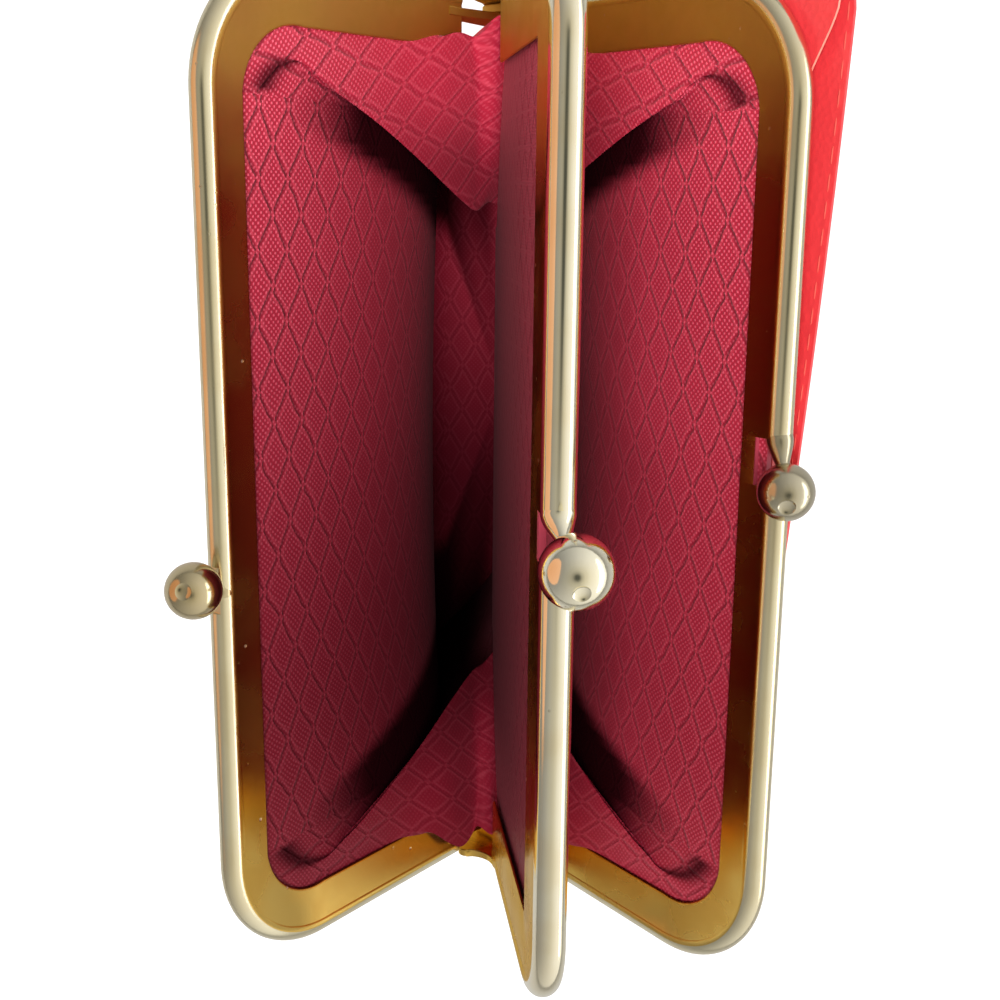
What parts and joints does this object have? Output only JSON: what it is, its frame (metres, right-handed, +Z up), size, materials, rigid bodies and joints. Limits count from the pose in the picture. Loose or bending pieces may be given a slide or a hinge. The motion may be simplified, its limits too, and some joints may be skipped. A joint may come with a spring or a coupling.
{
  "type": "kiss lock wallet",
  "caption": "Small leather frame purse standing open, with hinged gilt frames, ball clasps, lined compartments on either side of a divider, and loose leather leaves behind.",
  "frame": {"origin": "middle of the flat base, under the hinge line", "axes": "+X along the hinge pins, +Y from the front frame to the back leaves, +Z up through the open mouth"},
  "size_m": [0.1018, 0.0622, 0.0954],
  "materials": {
    "gilt_frame": "polished pale gilt, worn",
    "clasp_ball": "polished pale gilt",
    "red_leather": "smooth satin",
    "lining_cloth": "woven, embossed diamond trellis"
  },
  "bodies": {
    "root": {"frame_front": "gilt_frame", "frame_middle": "gilt_frame", "frame_back": "gilt_frame", "clasp_ball_front": "clasp_ball", "clasp_ball_middle": "clasp_ball", "clasp_ball_back": "clasp_ball", "hinge_rivet_a": "gilt_frame", "hinge_rivet_b": "gilt_frame", "leather_body": "red_leather", "lining": "lining_cloth", "divider": "lining_cloth", "back_leaf_inner": "red_leather", "back_leaf_outer": "red_leather"}
  },
  "joints": []
}
